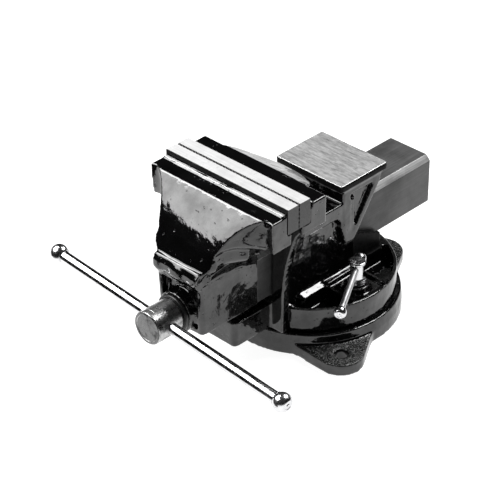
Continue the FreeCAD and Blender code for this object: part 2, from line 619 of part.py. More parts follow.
def spindle_nut():
    """A block that stands up into the slide bar's channel, with a rounded top."""
    width = NUT_HALF_WIDTH - SEAT_GAP
    shoulder = SPINDLE_Z + 4.0
    crown = SPINDLE_Z + NUT_HALF_WIDTH + 1.0
    block = along_y((NUT_FRONT_Y + SEAT_GAP, NUT_BACK_Y - SEAT_GAP), (-width, NUT_BOTTOM),
                    (width, NUT_BOTTOM), (width, shoulder), ((0, crown), (-width, shoulder)))
    block = block.cut(rod(SPINDLE_THREAD_R + RUN_FIT, V(0, NUT_FRONT_Y - 1, SPINDLE_Z),
                          V(0, NUT_BACK_Y + 1, SPINDLE_Z)))
    return block.cut(upright(NUT_BOLT_R, 0, NUT_BOLT_Y, NUT_BOTTOM, SPINDLE_Z))


def nut_bolt():
    """A hexagon bolt from below that holds the nut down on its seat."""
    head_low = BASE_TOP + 2.5
    head = hexagon(16.0, V(0, NUT_BOLT_Y, head_low), Z_AXIS, NUT_BOLT_SEAT_Z - head_low)
    return head.fuse(upright(NUT_BOLT_R, 0, NUT_BOLT_Y, NUT_BOLT_SEAT_Z, SPINDLE_Z - SPINDLE_THREAD_R - 1.0))


def nut_bolt_washer():
    disc = upright(9.5, 0, NUT_BOLT_Y, NUT_BOLT_SEAT_Z, NUT_BOLT_SEAT_Z + 0.5)
    return disc.cut(upright(NUT_BOLT_R, 0, NUT_BOLT_Y, NUT_BOLT_SEAT_Z - 1.0, NUT_BOLT_SEAT_Z + 1.0))


def knob_profile(radius, bar_radius):
    """A turned end knob as (distance along the bar from its centre, radius), outer end flattened."""
    inner = -0.72 * radius
    outer = 0.74 * radius
    curve = [(radius * math.sin(math.radians(a)), radius * math.cos(math.radians(a)))
             for a in range(-45, 46, 10)]
    flat_end = [(outer, 0.55 * radius), (outer + 0.8, 0.45 * radius), (outer + 0.8, 0)]
    return [(inner, 0), (inner, bar_radius + 0.5)] + curve + flat_end


def knob(centre, outward, radius, bar_radius):
    solid = turned(knob_profile(radius, bar_radius), centre, outward)
    return solid.cut(rod(bar_radius, centre - outward * radius, centre))


def handle_bar():
    return rod(HANDLE_R, handle_point(HANDLE_LEFT), handle_point(HANDLE_RIGHT))


def handle_knob(distance, side):
    return knob(handle_point(distance), handle_direction() * side, HANDLE_KNOB_R, HANDLE_R)


# ---- swivel locks -------------------------------------------------------------------------------
LOCK_WASHER_R = 9.6
LOCK_WASHER_TOP = LOCK_BOSS_TOP + 3.0
LOCK_COLLAR_R = 7.6
LOCK_CAP_THICKNESS = 4.0
T_NUT_HALF = 11.0
T_NUT_TOP = SLOT_NECK_Z - SEAT_GAP


def tbar_direction():
    angle = math.radians(TBAR_ANGLE)
    return V(math.cos(angle), math.sin(angle), 0)


def tbar_point(distance):
    return V(LOCK_R, 0, TBAR_Z) + tbar_direction() * distance


def lock_screw():
    """The clamping screw, from the T-nut up to the cap, cross-bored for its sliding bar."""
    low = BASE_FLOOR + 1.0
    cap = LOCK_CAP_TOP - low
    under_cap = cap - LOCK_CAP_THICKNESS
    seat = LOCK_WASHER_TOP - low
    shank = [(0, 0), (0, LOCK_SHANK_R), (seat, LOCK_SHANK_R), (seat, LOCK_COLLAR_R),
             (seat + 1.5, LOCK_COLLAR_R)]
    neck = [(seat + 1.5, LOCK_NECK_R), (under_cap, LOCK_NECK_R)]
    head = [(under_cap + 1.0, LOCK_CAP_R), (cap - 1.5, LOCK_CAP_R), (cap, LOCK_CAP_R - 2.0), (cap, 0)]
    screw = turned(shank + neck + head, V(LOCK_R, 0, low), Z_AXIS)
    return screw.cut(rod(TBAR_R + RUN_FIT, tbar_point(-20), tbar_point(20)))


def lock_washer():
    ring = upright(LOCK_WASHER_R, LOCK_R, 0, LOCK_BOSS_TOP, LOCK_WASHER_TOP)
    return ring.cut(upright(LOCK_SHANK_R + RUN_FIT, LOCK_R, 0, LOCK_BOSS_TOP, LOCK_WASHER_TOP))


def t_nut():
    nut = box((LOCK_R - T_NUT_HALF, LOCK_R + T_NUT_HALF), (-T_NUT_HALF, T_NUT_HALF),
              (BASE_FLOOR + SEAT_GAP, T_NUT_TOP))
    return nut.cut(upright(LOCK_SHANK_R + RUN_FIT, LOCK_R, 0, 0, BASE_TOP))


def tbar():
    return rod(TBAR_R, tbar_point(-TBAR_SHORT), tbar_point(TBAR_LONG))


def tbar_knob(distance, side):
    return knob(tbar_point(distance), tbar_direction() * side, TBAR_KNOB_R, TBAR_R)


# ---- the assembly ---------------------------------------------------------------------------------
def front_and_rear():
    front_grip = SEAM_Y - SEAM_HALF_GAP
    return {
        "front_jaw_plate": jaw_plate(front_grip, -1),
        "front_plate_screws": plate_screws(front_grip, -1),
        "rear_jaw_plate": jaw_plate(REAR_PLATE_Y, 1),
        "rear_plate_screws": plate_screws(REAR_PLATE_Y, 1),
    }


def screw_drive():
    return {
        "spindle": spindle(),
        "thrust_washer": ring_on_spindle(WASHER_R, SPINDLE_JOURNAL_R, washer_front_y(), WASHER_THICKNESS),
        "retaining_collar": retaining_collar(),
        "collar_pin": collar_pin(),
        "spindle_nut": spindle_nut(),
        "nut_bolt": nut_bolt(),
        "nut_bolt_washer": nut_bolt_washer(),
        "handle_bar": handle_bar(),
        "handle_knob_left": handle_knob(HANDLE_LEFT, -1),
        "handle_knob_right": handle_knob(HANDLE_RIGHT, 1),
    }


def swivel_locks():
    right = {
        "lock_screw": lock_screw(),
        "lock_washer": lock_washer(),
        "t_nut": t_nut(),
        "lock_bar": tbar(),
        "lock_bar_knob_outer": tbar_knob(TBAR_LONG, 1),
        "lock_bar_knob_inner": tbar_knob(-TBAR_SHORT, -1),
    }
    locks = {}
    for name, shape in right.items():
        locks[name + "_right"] = shape
        locks[name + "_left"] = mirrored(shape)
    return locks


def main():
    os.makedirs("parts", exist_ok=True)
    nodes = {"swivel_base": swivel_base(), "fixed_body": fixed_body(), "movable_jaw": movable_jaw()}
    nodes.update(front_and_rear())
    nodes.update(screw_drive())
    nodes.update(swivel_locks())
    for name, shape in nodes.items():
        shape.exportStep("parts/" + name + ".step")
        print(name, "solids", len(shape.Solids), "valid", shape.isValid(), "volume", round(shape.Volume))


main()
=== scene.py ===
import json
import math

import bmesh
import bpy
from mathutils import Matrix, Vector, noise


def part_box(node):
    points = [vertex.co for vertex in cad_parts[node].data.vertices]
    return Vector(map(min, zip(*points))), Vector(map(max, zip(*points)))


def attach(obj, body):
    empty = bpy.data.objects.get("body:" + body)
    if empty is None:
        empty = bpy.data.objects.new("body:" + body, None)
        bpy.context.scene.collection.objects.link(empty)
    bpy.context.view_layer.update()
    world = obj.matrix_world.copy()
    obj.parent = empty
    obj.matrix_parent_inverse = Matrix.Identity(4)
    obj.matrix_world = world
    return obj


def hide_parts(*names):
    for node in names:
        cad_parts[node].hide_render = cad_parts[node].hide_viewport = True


# The looks of a 150 mm swivel-base bench vise, in metres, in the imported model's frame:
# origin on the swivel axis under the base, +Z up, +X along the jaws, +Y towards the slide bar's end.

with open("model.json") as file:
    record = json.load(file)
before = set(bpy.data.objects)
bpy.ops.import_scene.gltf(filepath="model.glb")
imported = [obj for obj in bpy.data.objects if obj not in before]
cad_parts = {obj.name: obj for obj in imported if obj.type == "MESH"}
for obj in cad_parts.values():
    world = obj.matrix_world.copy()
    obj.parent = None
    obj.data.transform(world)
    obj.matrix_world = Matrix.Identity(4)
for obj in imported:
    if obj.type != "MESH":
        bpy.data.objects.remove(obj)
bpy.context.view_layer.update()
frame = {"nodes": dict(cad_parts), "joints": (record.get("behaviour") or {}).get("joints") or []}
NODES = frame["nodes"]

CAST_VOXEL = 0.0011
CAST_ROUNDS = 6              # smoothing rounds that run the cast edges together
CAST_SKIN = (("waves", 0.035, 0.0006), ("lumps", 0.013, 0.0004))    # unevenness: label, size, height
SKIN_LEVEL = 0.7             # over a half keeps most of the unevenness inward
SEGMENTS = 72


# ---- places read from the frame --------------------------------------------------------------
def joint(name):
    return next(j for j in frame["joints"] if j["name"] == name)


def middle(node):
    low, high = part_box(node)
    return (Vector(low) + Vector(high)) / 2


SPINDLE_Z = joint("spindle_turn")["pos_m"][2]
HANDLE_DIRECTION = Vector(joint("handle_slide")["axis"]).normalized()
SPINDLE_LOW, SPINDLE_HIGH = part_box("spindle")
HANDLE_CENTRE = Vector((0, middle("handle_bar").y, SPINDLE_Z))


# ---- mesh helpers ----------------------------------------------------------------------------
def new_object(name, mesh):
    piece = bpy.data.objects.new(name, mesh)
    bpy.context.scene.collection.objects.link(piece)
    return piece


def bake_modifiers(piece):
    """Replaces the piece's mesh by what its modifiers make of it."""
    graph = bpy.context.evaluated_depsgraph_get()
    mesh = bpy.data.meshes.new_from_object(piece.evaluated_get(graph))
    piece.modifiers.clear()
    piece.data = mesh
    return piece


def shade_smooth(piece, angle=None):
    for polygon in piece.data.polygons:
        polygon.use_smooth = True
    if angle is not None:
        piece.data.set_sharp_from_angle(angle=math.radians(angle))


def finish_piece(piece, body, slot, *replaced):
    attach(piece, body)
    if replaced:
        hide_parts(*replaced)
    return piece


def mesh_from(bm, name):
    bmesh.ops.recalc_face_normals(bm, faces=bm.faces)
    mesh = bpy.data.meshes.new(name)
    bm.to_mesh(mesh)
    bm.free()
    return new_object(name, mesh)


def around(centre, direction):
    """Gives the point at (along, radius, angle) about an axis."""
    direction = Vector(direction).normalized()
    side = direction.orthogonal().normalized()
    other = direction.cross(side)
    start = Vector(centre)
    return lambda along, radius, angle: (start + direction * along
                                         + radius * (side * math.cos(angle) + other * math.sin(angle)))


def join_rings(bm, rings):
    """Makes the faces between each ring of points and the next."""
    for lower, upper in zip(rings, rings[1:]):
        for k in range(len(lower)):
            following = (k + 1) % len(lower)
            bm.faces.new((lower[k], lower[following], upper[following], upper[k]))


def lathe(name, points, centre, direction, hollow=False, segments=SEGMENTS):
    """A turned piece from (along, radius) points; a hollow one is a ring, its profile a closed loop."""
    place = around(centre, direction)
    bm = bmesh.new()
    rings = [[bm.verts.new(place(along, radius, 2 * math.pi * k / segments)) for k in range(segments)]
             for along, radius in points]
    join_rings(bm, rings + rings[:1] if hollow else rings)
    if not hollow:
        bm.faces.new(reversed(rings[0]))
        bm.faces.new(rings[-1])
    return mesh_from(bm, name)


def bored(piece, *cutters):
    """Cuts the cutters' shapes out of the piece."""
    for cutter in cutters:
        cut = piece.modifiers.new("bore", "BOOLEAN")
        cut.object = cutter
        cut.solver = "EXACT"
        bake_modifiers(piece)
        bpy.data.objects.remove(cutter)
    return piece


def drill(centre, direction, radius, length):
    return lathe("drill", [(-length / 2, radius), (length / 2, radius)], centre, direction)


def arc(centre_along, radius, start, end, steps=8, offset=0.0):
    """Rounded part of a lathe profile: angles in degrees from straight out to along the axis."""
    turn = [math.radians(start + (end - start) * k / steps) for k in range(steps + 1)]
    return [(centre_along + radius * math.sin(a), offset + radius * math.cos(a)) for a in turn]


# ---- node helpers ----------------------------------------------------------------------------
class Nodes:
    """Builds a material's node tree with short calls."""

    def __init__(self, name):
        self.material = bpy.data.materials.new(name)
        self.material.use_nodes = True
        self.tree = self.material.node_tree
        self.shader = self.tree.nodes["Principled BSDF"]
        self.position = self.tree.nodes.new("ShaderNodeTexCoord").outputs["Object"]

    def set(self, **values):
        for label, value in values.items():
            self.shader.inputs[label.replace("_", " ")].default_value = value

    def link(self, source, target):
        self.tree.links.new(source, target)

    def scaled(self, scale, turn=(0, 0, 0)):
        mapping = self.tree.nodes.new("ShaderNodeMapping")
        mapping.inputs["Scale"].default_value = scale
        mapping.inputs["Rotation"].default_value = turn
        self.link(self.position, mapping.inputs["Vector"])
        return mapping.outputs["Vector"]

    def noise(self, scale, detail=3.0, roughness=0.5, stretch=(1, 1, 1), turn=(0, 0, 0)):
        node = self.tree.nodes.new("ShaderNodeTexNoise")
        node.inputs["Scale"].default_value = scale
        node.inputs["Detail"].default_value = detail
        node.inputs["Roughness"].default_value = roughness
        self.link(self.scaled(stretch, turn), node.inputs["Vector"])
        return node.outputs["Fac"]

    def pointiness(self):
        """How sharply the surface bends: above a half on outside edges."""
        return self.tree.nodes.new("ShaderNodeNewGeometry").outputs["Pointiness"]

    def ramp(self, source, *stops):
        """Colours the source from (place, value) stops; a plain number is a grey."""
        node = self.tree.nodes.new("ShaderNodeValToRGB")
        elements = node.color_ramp.elements
        for index, (place, value) in enumerate(stops):
            element = elements[index] if index < 2 else elements.new(place)
            element.position = place
            colour = value if isinstance(value, tuple) else (value, value, value)
            element.color = (*colour, 1)
        self.link(source, node.inputs["Fac"])
        return node.outputs["Color"]

    def mix(self, factor, first, second):
        node = self.tree.nodes.new("ShaderNodeMix")
        node.data_type = "RGBA"
        self.link(factor, node.inputs["Factor"])
        self.link(first, node.inputs[6])
        self.link(second, node.inputs[7])
        return node.outputs[2]

    def bump(self, height, strength, distance, under=None):
        node = self.tree.nodes.new("ShaderNodeBump")
        node.inputs["Strength"].default_value = strength
        node.inputs["Distance"].default_value = distance
        self.link(height, node.inputs["Height"])
        if under is not None:
            self.link(under, node.inputs["Normal"])
        return node.outputs["Normal"]

    def done(self, colour=None, roughness=None, normal=None):
        for source, label in ((colour, "Base Color"), (roughness, "Roughness"), (normal, "Normal")):
            if source is not None:
                self.link(source, self.shader.inputs[label])
        return self.material


# ---- materials -------------------------------------------------------------------------------
def black_enamel():
    """Thick gloss enamel over a cast skin: lumpy, a few dull patches and pin-holes, edges lighter from wear
    and a painted highlight.
    """
    n = Nodes("black_enamel")
    n.set(IOR=1.62)
    edges = n.ramp(n.pointiness(), (0.53, 0.0), (0.58, 1.0))
    skin = n.ramp(n.noise(35, 4), (0.3, (0.001, 0.001, 0.001)), (0.75, (0.003, 0.003, 0.0032)))
    # Outside edges turn lighter grey: partly worn paint, partly a painted highlight along the rounded
    # edges.
    edge_wear_and_highlight = n.ramp(n.noise(300, 5, 0.7), (0.40, (0.01, 0.01, 0.01)), (0.60, (0.24, 0.24, 0.235)))
    tone = n.mix(edges, skin, edge_wear_and_highlight)
    clouds = n.noise(55, 5, 0.6)
    n.link(n.ramp(clouds, (0.35, 0.38), (0.62, 0.56)), n.shader.inputs["Specular IOR Level"])
    rough = n.ramp(n.noise(90, 6, 0.65), (0.4, 0.05), (0.62, 0.10), (0.8, 0.25))
    lumps = n.bump(n.noise(38, 2, 0.4), 0.6, 0.0016)
    ripples = n.bump(n.noise(150, 3, 0.55), 0.5, 0.0004, lumps)
    peel = n.bump(n.noise(800, 2, 0.5), 0.25, 0.00006, ripples)
    pits = n.bump(n.ramp(n.noise(230, 2, 0.5), (0.27, 0.0), (0.31, 1.0)), 0.7, 0.0003, peel)
    return n.done(tone, rough, pits)


def rough_enamel():
    """Enamel brushed thinly over sand-cast iron: speckled and dull between glossy beads."""
    n = Nodes("rough_enamel")
    n.set(IOR=1.62)
    grit = n.noise(420, 4, 0.65)
    tone = n.ramp(grit, (0.35, (0.004, 0.004, 0.004)), (0.62, (0.03, 0.031, 0.03)),
                  (0.75, (0.10, 0.10, 0.098)))
    rough = n.ramp(n.noise(260, 4), (0.35, 0.12), (0.7, 0.4))
    coarse = n.bump(n.noise(210, 4, 0.65), 0.9, 0.0011)
    return n.done(tone, rough, n.bump(grit, 0.8, 0.0005, coarse))


def machined_iron(name, brightness):
    """Planed cast iron of the slide bar, oiled dark, with marks along its length; brightness scales its
    tone, and copies far above and below 1 are a painted highlight and painted shade.
    """
    n = Nodes(name)
    n.set(Metallic=0.2, Specular_IOR_Level=0.3)
    lines = n.noise(700, 4, 0.65, stretch=(1, 0.03, 1))
    stain = n.noise(28, 5, 0.6)
    light = n.ramp(lines, (0.3, 0.065 * brightness), (0.7, 0.12 * brightness))
    dark = n.ramp(lines, (0.3, 0.04 * brightness), (0.7, 0.07 * brightness))
    tone = n.mix(n.ramp(stain, (0.42, 0.0), (0.6, 1.0)), light, dark)
    rough = n.ramp(stain, (0.3, 0.32), (0.7, 0.46))
    return n.done(tone, rough, n.bump(lines, 0.3, 0.00012))


def oxide_black(name, shine):
    """Blacked plate sides, anvil rim, cradle sides and thrust washer, with a little bright rubbing."""
    n = Nodes(name)
    n.set(IOR=1.5, Specular_IOR_Level=shine)
    rub = n.noise(260, 6, 0.7)
    tone = n.ramp(rub, (0.35, 0.002), (0.66, 0.007), (0.8, 0.04))
    rough = n.ramp(n.noise(600, 3), (0.3, 0.25), (0.7, 0.45))
    return n.done(tone, rough, n.bump(rub, 0.25, 0.0002))


def ground(name, dark, light, metallic, stretch, fineness=1100):
    """Surface-ground steel with a fine grain one way and a few darker scuffs."""
    n = Nodes(name)
    n.set(Metallic=metallic)
    grain = n.noise(fineness, 4, 0.7, stretch=stretch)
    scuffs = n.noise(90, 6, 0.7, stretch=(1, 0.5, 1))
    bright = n.ramp(grain, (0.25, dark), (0.75, light))
    dull = n.ramp(grain, (0.25, dark * 0.6), (0.75, light * 0.7))
    tone = n.mix(n.ramp(scuffs, (0.58, 0.0), (0.72, 1.0)), bright, dull)
    rough = n.ramp(scuffs, (0.3, 0.32), (0.7, 0.5))
    return n.done(tone, rough, n.bump(grain, 0.3, 0.00012))


def turned_steel(name, clean_tone, worn_tone, rings_turn=True):
    """Lathe-turned steel: fine rings round the screw's axis, scratches and grey handling marks."""
    n = Nodes(name)
    n.set(Metallic=1.0)
    rings = n.noise(1300, 3, 0.6, stretch=(0.08, 1, 0.08) if rings_turn else (1, 1, 0.15))
    marks = n.noise(130, 7, 0.7, stretch=(1, 0.6, 1))
    clean = n.ramp(rings, (0.3, clean_tone * 0.7), (0.7, clean_tone))
    worn = n.ramp(rings, (0.3, worn_tone * 0.6), (0.7, worn_tone))
    tone = n.mix(n.ramp(marks, (0.5, 0.0), (0.62, 1.0)), clean, worn)
    rough = n.ramp(marks, (0.35, 0.24), (0.7, 0.46))
    under = n.bump(marks, 0.3, 0.0003)
    return n.done(tone, rough, n.bump(rings, 0.35, 0.00015, under))


def bright_zinc(name, dullness):
    """Bright plating with a slight haze, rubbed and scratched."""
    n = Nodes(name)
    n.set(Metallic=1.0)
    haze = n.noise(110, 6, 0.65)
    scratches = n.noise(420, 5, 0.75, stretch=(0.15, 1, 1), turn=(0.3, 0.2, 0.5))
    clean = n.ramp(haze, (0.3, (0.58, 0.58, 0.59)), (0.7, (0.74, 0.74, 0.75)))
    dull = n.ramp(haze, (0.3, (0.24, 0.24, 0.245)), (0.7, (0.36, 0.36, 0.365)))
    tone = n.mix(n.ramp(scratches, (0.60, 0.0), (0.70, 1.0)), clean, dull)
    rough = n.ramp(haze, (0.3, dullness), (0.7, dullness + 0.15))
    return n.done(tone, rough, n.bump(scratches, 0.12, 0.0001))


def dark_steel():
    """Black-oxide fasteners, worn bare in places."""
    n = Nodes("dark_steel")
    n.set(Metallic=1.0)
    wear = n.noise(300, 6, 0.7)
    tone = n.ramp(wear, (0.35, (0.03, 0.03, 0.032)), (0.62, (0.08, 0.08, 0.082)), (0.75, 0.25))
    rough = n.ramp(n.noise(500, 4), (0.35, 0.32), (0.7, 0.55))
    return n.done(tone, rough, n.bump(n.noise(900, 3), 0.3, 0.0001))


def cast_iron():
    """Bare cast iron of the screw's nut, greasy and pitted."""
    n = Nodes("cast_iron")
    n.set(Metallic=0.7)
    grit = n.noise(500, 5, 0.65)
    tone = n.ramp(grit, (0.3, (0.05, 0.048, 0.046)), (0.7, (0.16, 0.155, 0.15)))
    rough = n.ramp(n.noise(160, 4), (0.3, 0.35), (0.7, 0.7))
    return n.done(tone, rough, n.bump(grit, 0.6, 0.0004))


ENAMEL = black_enamel()
ROUGH = rough_enamel()
IRON = machined_iron("machined_iron", 0.85)
# The much lighter copy on the bar's top chamfers is a painted highlight; the darker copy on its sides is
# painted shade.
HIGHLIT_CHAMFER_IRON = machined_iron("highlit_chamfer_iron", 3.2)
SHADED_SIDE_IRON = machined_iron("shaded_side_iron", 0.4)
GROUND = ground("ground_steel", 0.62, 0.80, 0.45, (0.03, 1, 1))
ANVIL_STEEL = ground("anvil_steel", 0.13, 0.60, 0.5, (0.2, 1, 1), 420)
# Near-black grip steel: painted shade that darkens the seam between the closed plates.
SHADED_GRIP = ground("shaded_grip_steel", 0.03, 0.07, 0.9, (1, 1, 0.1))
TURNED = turned_steel("turned_steel", 0.55, 0.22)
# Darker copy for the screw head's end face: facing marks across it, and a lowered tone that is painted
# shade.
SHADED_FACE_STEEL = turned_steel("shaded_faced_steel", 0.20, 0.06, False)
OXIDE = oxide_black("oxide_black", 0.6)
DULL_BLACK = oxide_black("dull_black", 0.04)
ZINC = bright_zinc("bright_zinc", 0.12)
HANDLE_ZINC = bright_zinc("handle_zinc", 0.08)
BAR_ZINC = bright_zinc("satin_zinc", 0.30)
DARK = dark_steel()
CAST = cast_iron()


def give(node, material):
    """A better material on a CAD node that keeps its own shape."""
    slots = NODES[node].data.materials
    slots.clear()
    slots.append(material)


def cover(piece, material, angle=40):
    piece.data.materials.clear()
    piece.data.materials.append(material)
    shade_smooth(piece, angle)
    return piece


def paint_faces(piece, material, wanted):
    """Gives the material to the polygons for which wanted(centre, normal) is true."""
    piece.data.materials.append(material)
    index = len(piece.data.materials) - 1
    for polygon in piece.data.polygons:
        if wanted(polygon.center, polygon.normal):
            polygon.material_index = index


# ---- castings --------------------------------------------------------------------------------
def casting(name, node, body):
    """A cast copy of a CAD node: its edges run together and its skin is slightly uneven."""
    piece = new_object(name, NODES[node].data.copy())
    remesh = piece.modifiers.new("skin", "REMESH")
    remesh.mode = "VOXEL"
    remesh.voxel_size = CAST_VOXEL
    smooth = piece.modifiers.new("round", "SMOOTH")
    smooth.factor = 0.5
    smooth.iterations = CAST_ROUNDS
    for label, size, height in CAST_SKIN:
        texture = bpy.data.textures.new(name + "_" + label, "CLOUDS")
        texture.noise_scale = size
        push = piece.modifiers.new(label, "DISPLACE")
        push.texture = texture
        push.texture_coords = "LOCAL"
        push.strength = height
        push.mid_level = SKIN_LEVEL
    bake_modifiers(piece)
    cover(piece, ENAMEL, None)
    return finish_piece(piece, body, "black_enamel", node)


def blend(value, start, end):
    """Runs smoothly from 0 at start to 1 at end."""
    share = max(0.0, min(1.0, (value - start) / (end - start)))
    return share * share * (3 - 2 * share)


def soften(piece, weight, rounds):
    """Smooths a casting by as much as weight(point) says, from 0 to 1."""
    group = piece.vertex_groups.new(name="soft")
    for vertex in piece.data.vertices:
        amount = weight(vertex.co)
        if amount > 0:
            group.add([vertex.index], amount, "REPLACE")
    smooth = piece.modifiers.new("soften", "SMOOTH")
    smooth.vertex_group = "soft"
    smooth.factor = 0.5
    smooth.iterations = rounds
    bake_modifiers(piece)


def cut_off(piece, y):
    """Removes everything beyond y and closes the cut."""
    bm = bmesh.new()
    bm.from_mesh(piece.data)
    everything = bm.verts[:] + bm.edges[:] + bm.faces[:]
    bmesh.ops.bisect_plane(bm, geom=everything, plane_co=(0, y, 0), plane_no=(0, 1, 0),
                           clear_outer=True)
    bmesh.ops.holes_fill(bm, edges=[e for e in bm.edges if e.is_boundary], sides=0)
    bm.to_mesh(piece.data)
    bm.free()


def level_top(piece, z, reach, inside):
    """Grinds flat every upward-facing vertex that lies within reach of height z."""
    for vertex in piece.data.vertices:
        if abs(vertex.co.z - z) < reach and vertex.normal.z > 0.8 and inside(vertex.co):
            vertex.co.z = z


SLIDE_HALF = 0.0275
SLIDE_LOW, SLIDE_HIGH = 0.0615, 0.1125
SLIDE_START_Y = -0.0992
SLIDE_CHAMFER = 0.005
SLIDE_EDGE = 0.0007
SLIDE_OVERLAP = 0.0008       # how far the planed bar runs into the casting
CHANNEL_HALF, CHANNEL_ROOF = 0.0146, 0.093
ANVIL_LEVEL = 0.1465
ANVIL_REACH = 0.0012         # heights within this of the anvil's face are ground flat
ANVIL_RIM = 0.0066           # depth of the black rim round it


def make_slide_bar():
    """The planed bar behind the moving jaw: crisp edges, chamfered top, channel for the screw."""
    shoulder = SLIDE_HIGH - SLIDE_CHAMFER
    right = [(SLIDE_HALF - SLIDE_CHAMFER, SLIDE_HIGH), (SLIDE_HALF, shoulder), (SLIDE_HALF, SLIDE_LOW),
             (CHANNEL_HALF, SLIDE_LOW), (CHANNEL_HALF, CHANNEL_ROOF)]
    outline = right + [(-x, z) for x, z in reversed(right)]
    end_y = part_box("movable_jaw")[1][1]
    bm = bmesh.new()
    near = [bm.verts.new((x, SLIDE_START_Y - SLIDE_OVERLAP, z)) for x, z in outline]
    far = [bm.verts.new((x, end_y, z)) for x, z in outline]
    count = len(outline)
    for k in range(count):
        following = (k + 1) % count
        bm.faces.new((near[k], near[following], far[following], far[k]))
    bm.faces.new(reversed(near))
    bm.faces.new(far)
    bar = mesh_from(bm, "slide_bar_planed")
    bevel = bar.modifiers.new("edge", "BEVEL")
    bevel.width = SLIDE_EDGE
    bevel.segments = 3
    bevel.limit_method = "ANGLE"
    cover(bake_modifiers(bar), IRON, 30)
    # Darker iron on the sides is painted shade; much lighter iron on the top chamfers is a painted
    # highlight.
    paint_faces(bar, SHADED_SIDE_IRON, lambda c, n: abs(n.x) > 0.9)
    paint_faces(bar, HIGHLIT_CHAMFER_IRON, lambda c, n: abs(n.x) > 0.3 and n.z > 0.3)
    finish_piece(bar, "movable", "black_enamel", "movable_jaw")


CROWN_TOP_Z = 0.180
CROWN_NECK_HALF = 0.0265     # half width of the crown's face where it meets the bead
CROWN_FLARE = 0.0385         # how much wider each side of it is at the top
CROWN_DECAY = 0.02
HOLLOW_OUTSIDE = 0.0735      # |x| where the hollow has faded out near the wing's end
HOLLOW_Z = (0.124, 0.1785)
HOLLOW_REAR_Y = -0.115
HOLLOW_ROUNDS = 50
WAIST_Z = (0.120, 0.176)
WAIST_REAR_Y = -0.127
WAIST_SWELL = 0.0028
BEAD_Z = (0.106, 0.130)
BEAD_REAR_Y = -0.160
BEAD_LUMP = 0.0016
BEAD_LUMPS_PER_METRE = 95


def wing_hollow(c):
    """1 inside the hollow under each wing, fading to 0 at its rims."""
    ridge = CROWN_NECK_HALF + CROWN_FLARE * math.exp((c.z - CROWN_TOP_Z) / CROWN_DECAY)
    across = blend(abs(c.x), ridge + 0.001, ridge + 0.008)
    across *= blend(abs(c.x), HOLLOW_OUTSIDE, HOLLOW_OUTSIDE - 0.0055)
    low, high = HOLLOW_Z
    upward = blend(c.z, low, low + 0.008) * blend(c.z, high, high - 0.0065)
    return across * upward * blend(c.y, HOLLOW_REAR_Y, HOLLOW_REAR_Y - 0.006)


def shape_moving_jaw(piece):
    """Swells the crown at its waist and roughens the bead below it."""
    waist_low, waist_high = WAIST_Z
    bead_low, bead_high = BEAD_Z
    for vertex in piece.data.vertices:
        x, y, z = vertex.co
        if y < WAIST_REAR_Y and waist_low < z < waist_high:
            rise = math.sin(math.pi * (z - waist_low) / (waist_high - waist_low))
            reach = min(1.0, abs(x) / 0.028) * max(0.0, min(1.0, (0.07 - abs(x)) / 0.025))
            vertex.co.x += math.copysign(WAIST_SWELL * rise * reach, x)
        if y < BEAD_REAR_Y and bead_low < z < bead_high:
            swell = noise.noise(Vector((x, 0.4 * y, 0.4 * z)) * BEAD_LUMPS_PER_METRE)
            fade = blend(z, bead_low, bead_low + 0.004) * blend(z, bead_high, bead_high - 0.008)
            vertex.co += vertex.normal * BEAD_LUMP * swell * fade


SHOULDER_TOP_Z = 0.126
SHOULDER_BEND_Y = -0.150     # behind this the rim falls away in a curve
SHOULDER_FALL = 4.5
SHOULDER_HEIGHT = 0.0135
SHOULDER_RIM = 0.0020
SHOULDER_REACH = 0.032       # height over which the flare dies out again
FLARE_SLOPE, FLARE_CURVE, FLARE_RIM_SLOPE = 0.14, 5.5, 1.7
CHEEK_FRONT, CHEEK_REAR = -0.170, -0.0995
CHEEK_INSIDE, WING_INSIDE = 0.022, 0.06


def shoulder_z(y):
    """Height of the arched rim along the top of each cheek."""
    return SHOULDER_TOP_Z - SHOULDER_FALL * max(0.0, y - SHOULDER_BEND_Y) ** 2


def flare_line(above):
    """Half width that the flare is measured from, at a height above the shoulder's foot."""
    on_cheek = min(above, SHOULDER_HEIGHT)
    on_rim = max(0.0, min(above - SHOULDER_HEIGHT, SHOULDER_RIM))
    return SLIDE_HALF - FLARE_SLOPE * on_cheek - FLARE_CURVE * on_cheek ** 2 - FLARE_RIM_SLOPE * on_rim


def flare_the_shoulders(piece):
    """Flares each cheek outward up to an arched rim; a point moves by its distance from flare_line."""
    for vertex in piece.data.vertices:
        x, y, z = vertex.co
        above = z - (shoulder_z(y) - SHOULDER_HEIGHT)
        on_side = CHEEK_FRONT < y < CHEEK_REAR and CHEEK_INSIDE < abs(x) < WING_INSIDE
        if on_side and 0.0 < above < SHOULDER_REACH:
            keep = blend(above, SHOULDER_HEIGHT + SHOULDER_RIM, SHOULDER_REACH)
            outward = abs(flare_line(above) - abs(x)) * (1 - keep)
            outward *= blend(y, CHEEK_FRONT, CHEEK_FRONT + 0.012)
            outward *= blend(y, CHEEK_REAR, CHEEK_REAR - 0.002)
            vertex.co.x += math.copysign(outward, x)


SIDE_WALL_X = 0.033
FOOT_REACH = 0.0425
FOOT_Y = (-0.0725, -0.049)
FOOT_Z = (0.0345, 0.054)
FOOT_TAPER_Y = (-0.057, -0.050)


def end_the_feet(piece):
    """Tapers the sloping foot of each side wall to nothing before it reaches the front flange."""
    for vertex in piece.data.vertices:
        x, y, z = vertex.co
        in_span = FOOT_Y[0] < y < FOOT_Y[1] and FOOT_Z[0] < z < FOOT_Z[1]
        if in_span and SIDE_WALL_X < abs(x) < FOOT_REACH:
            kept = (abs(x) - SIDE_WALL_X) * blend(y, *FOOT_TAPER_Y)
            vertex.co.x = math.copysign(SIDE_WALL_X + kept, x)


